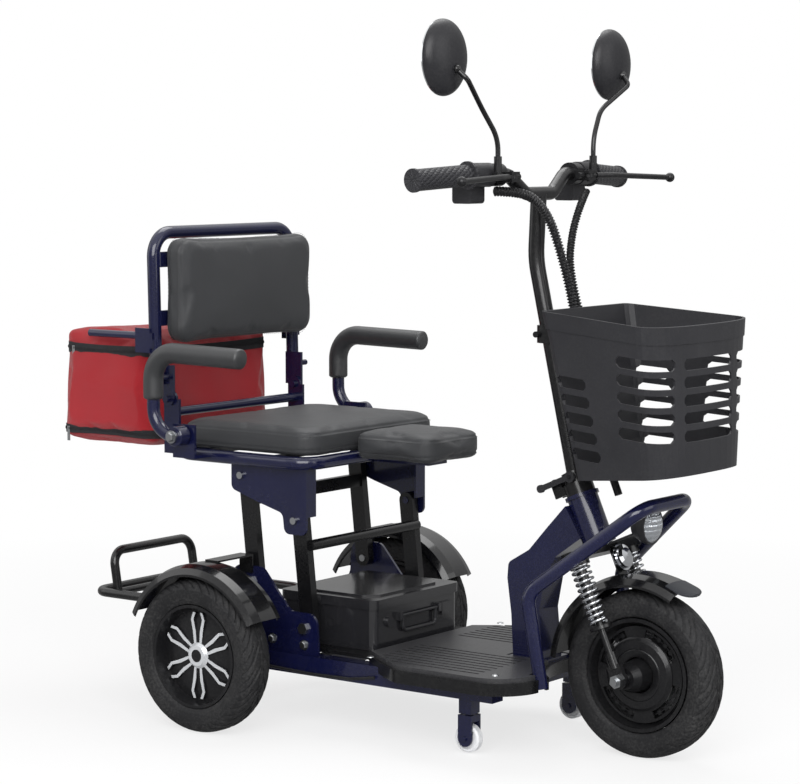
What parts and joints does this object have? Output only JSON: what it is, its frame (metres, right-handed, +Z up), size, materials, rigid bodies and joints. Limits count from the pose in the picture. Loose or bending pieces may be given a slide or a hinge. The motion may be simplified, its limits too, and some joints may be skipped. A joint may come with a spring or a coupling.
{
  "type": "folding three-wheel mobility scooter",
  "caption": "Folding electric adult tricycle with a padded seat, folding backrest and armrests, front basket, sprung front fork, mirrors, battery box and rear rack.",
  "frame": {"origin": "centre of the footprint at ground level, on the middle plane", "axes": "+X forwards, +Y to the rider's left, +Z up"},
  "size_m": [1.252, 0.624, 1.16],
  "materials": {
    "navy_paint": "gloss",
    "black_paint": "gloss",
    "black_plastic": "satin",
    "gloss_black": "gloss",
    "basket_plastic": "satin",
    "white_plastic": "gloss",
    "tyre": "matte",
    "rubber": "matte",
    "foam": "matte",
    "chrome": "polished",
    "steel": "satin",
    "rim_black": "satin",
    "leather": "satin",
    "red_fabric": "matte",
    "clear_lens": "clear"
  },
  "bodies": {
    "chassis": {"base_frame": "navy_paint", "side_plates": "navy_paint", "deck_pan": "black_paint", "floor_mat": "rubber", "neck_frame": "navy_paint", "head_tube": "navy_paint", "bumper_guard": "navy_paint", "rear_rack": "black_paint", "rear_fender_right": "gloss_black", "rear_fender_left": "gloss_black", "battery_case": "gloss_black", "anti_tip_posts": "navy_paint", "frame_bolts": "steel", "frame_lead": "rubber"},
    "battery_bail": {"battery_handle": "black_plastic"},
    "rear_wheel_right": {"rear_tyre_right": "tyre", "rear_hub_right": "rim_black"},
    "rear_wheel_left": {"rear_tyre_left": "tyre", "rear_hub_left": "rim_black"},
    "tip_wheel_right": {"caster_wheel_right": "white_plastic"},
    "tip_wheel_left": {"caster_wheel_left": "white_plastic"},
    "steering": {"fork_crown": "black_paint", "fork_springs": "chrome", "front_fender": "gloss_black", "headlamp_shell": "black_plastic", "headlamp_lens": "clear_lens", "horn": "chrome", "fold_socket": "black_paint"},
    "fork_lower": {"fork_rods": "black_paint", "front_axle": "steel", "brake_caliper": "rim_black"},
    "front_wheel": {"front_tyre": "tyre", "front_rim": "rim_black", "brake_disc": "steel"},
    "column": {"steering_column": "black_paint", "basket": "basket_plastic", "left_grip": "rubber", "lever_perches": "rim_black", "switch_housing": "black_plastic", "throttle_housing": "black_plastic", "mirror_stems": "black_paint", "wiring_loom": "rubber"},
    "throttle": {"throttle_grip": "rubber"},
    "lever_right": {"brake_lever_right": "rim_black"},
    "lever_left": {"brake_lever_left": "rim_black"},
    "mirror_head_right": {"mirror_right": "black_plastic"},
    "mirror_head_left": {"mirror_left": "black_plastic"},
    "column_catch": {"fold_lever": "black_plastic"},
    "horn_press": {"horn_button": "black_plastic"},
    "lamp_press": {"light_switch": "black_plastic"},
    "front_link": {"front_legs": "black_paint"},
    "rear_link": {"rear_legs": "black_paint"},
    "seat": {"seat_frame": "navy_paint", "seat_cushion": "leather", "front_pad": "leather"},
    "arm_right": {"armrest_right": "foam"},
    "arm_left": {"armrest_left": "foam"},
    "backrest": {"backrest_frame": "navy_paint", "backrest_cushion": "leather", "bag": "red_fabric"}
  },
  "joints": [
    {"name": "rear_wheel_right_spin", "type": "hinge", "parent": "chassis", "child": "rear_wheel_right", "pos_m": [-0.189, -0.281, 0.128], "axis": [0, 1, 0], "continuous": true},
    {"name": "rear_wheel_left_spin", "type": "hinge", "parent": "chassis", "child": "rear_wheel_left", "pos_m": [-0.189, 0.281, 0.128], "axis": [0, 1, 0], "continuous": true},
    {"name": "tip_wheel_right_spin", "type": "hinge", "parent": "chassis", "child": "tip_wheel_right", "pos_m": [0.259, -0.152, 0.026], "axis": [0, 1, 0], "continuous": true},
    {"name": "tip_wheel_left_spin", "type": "hinge", "parent": "chassis", "child": "tip_wheel_left", "pos_m": [0.259, 0.152, 0.026], "axis": [0, 1, 0], "continuous": true},
    {"name": "battery_bail_swing", "type": "hinge", "parent": "chassis", "child": "battery_bail", "pos_m": [0.049, 0, 0.185], "axis": [0, -1, 0], "range_deg": [0, 90]},
    {"name": "steering", "type": "hinge", "parent": "chassis", "child": "steering", "pos_m": [0.40312, 0, 0.33743], "axis": [-0.4003, 0, 0.9164], "range_deg": [-25, 25]},
    {"name": "fork_travel", "type": "slide", "parent": "steering", "child": "fork_lower", "axis": [-0.4003, 0, 0.9164], "range_m": [0, 0.018], "stiffness_N_per_m": 15000, "springref_m": -0.04, "deforming": ["fork_springs"]},
    {"name": "front_wheel_spin", "type": "hinge", "parent": "fork_lower", "child": "front_wheel", "pos_m": [0.492, 0, 0.134], "axis": [0, 1, 0], "continuous": true},
    {"name": "column_fold", "type": "hinge", "parent": "steering", "child": "column", "pos_m": [0.32833, 0, 0.4237], "axis": [0, 1, 0], "range_deg": [-45, 0]},
    {"name": "column_catch_swing", "type": "hinge", "parent": "column", "child": "column_catch", "pos_m": [0.36682, -0.028, 0.44052], "axis": [0, 1, 0], "range_deg": [0, 60]},
    {"name": "throttle_twist", "type": "hinge", "parent": "column", "child": "throttle", "pos_m": [0.252, -0.29, 0.914], "axis": [0.1457, 0.9877, 0.0567], "range_deg": [0, 70], "stiffness_Nm_per_rad": 0.15, "springref_deg": -17.19},
    {"name": "brake_lever_right_pull", "type": "hinge", "parent": "column", "child": "lever_right", "pos_m": [0.309, -0.112, 0.918], "axis": [0, 0, -1], "range_deg": [0, 12], "stiffness_Nm_per_rad": 0.8, "springref_deg": -8.59},
    {"name": "brake_lever_left_pull", "type": "hinge", "parent": "column", "child": "lever_left", "pos_m": [0.309, 0.112, 0.918], "axis": [0, 0, 1], "range_deg": [0, 12], "stiffness_Nm_per_rad": 0.8, "springref_deg": -8.59},
    {"name": "mirror_right_turn", "type": "hinge", "parent": "column", "child": "mirror_head_right", "pos_m": [0.294, -0.239, 1.083], "axis": [0, 0, 1], "range_deg": [-15, 15]},
    {"name": "mirror_left_turn", "type": "hinge", "parent": "column", "child": "mirror_head_left", "pos_m": [0.294, 0.239, 1.083], "axis": [0, 0, 1], "range_deg": [-15, 15]},
    {"name": "horn_button_press", "type": "slide", "parent": "column", "child": "horn_press", "axis": [1, 0, 0], "range_m": [0, 0.0015], "stiffness_N_per_m": 300, "springref_m": -0.002},
    {"name": "lamp_switch_press", "type": "slide", "parent": "column", "child": "lamp_press", "axis": [1, 0, 0], "range_m": [0, 0.0012], "stiffness_N_per_m": 300, "springref_m": -0.002},
    {"name": "seat_fold", "type": "hinge", "parent": "chassis", "child": "front_link", "pos_m": [-0.066, 0, 0.168], "axis": [0, 1, 0], "range_deg": [0, 38]},
    {"name": "rear_link_fold", "type": "hinge", "parent": "chassis", "child": "rear_link", "pos_m": [-0.181, 0, 0.2355], "axis": [0, 1, 0], "range_deg": [0, 38]},
    {"name": "seat_level", "type": "hinge", "parent": "front_link", "child": "seat", "pos_m": [-0.08513, 0, 0.34698], "axis": [0, 1, 0], "range_deg": [-38, 0]},
    {"name": "armrest_right_lift", "type": "hinge", "parent": "seat", "child": "arm_right", "pos_m": [-0.265, -0.252, 0.484], "axis": [0, -1, 0], "range_deg": [0, 85]},
    {"name": "armrest_left_lift", "type": "hinge", "parent": "seat", "child": "arm_left", "pos_m": [-0.265, 0.252, 0.484], "axis": [0, -1, 0], "range_deg": [0, 85]},
    {"name": "backrest_fold", "type": "hinge", "parent": "seat", "child": "backrest", "pos_m": [-0.355, 0, 0.535], "axis": [0, 1, 0], "range_deg": [0, 80]}
  ],
  "couplings": [
    {"joint": "rear_link_fold", "follows": "seat_fold", "ratio": 1},
    {"joint": "seat_level", "follows": "seat_fold", "ratio": -1}
  ]
}
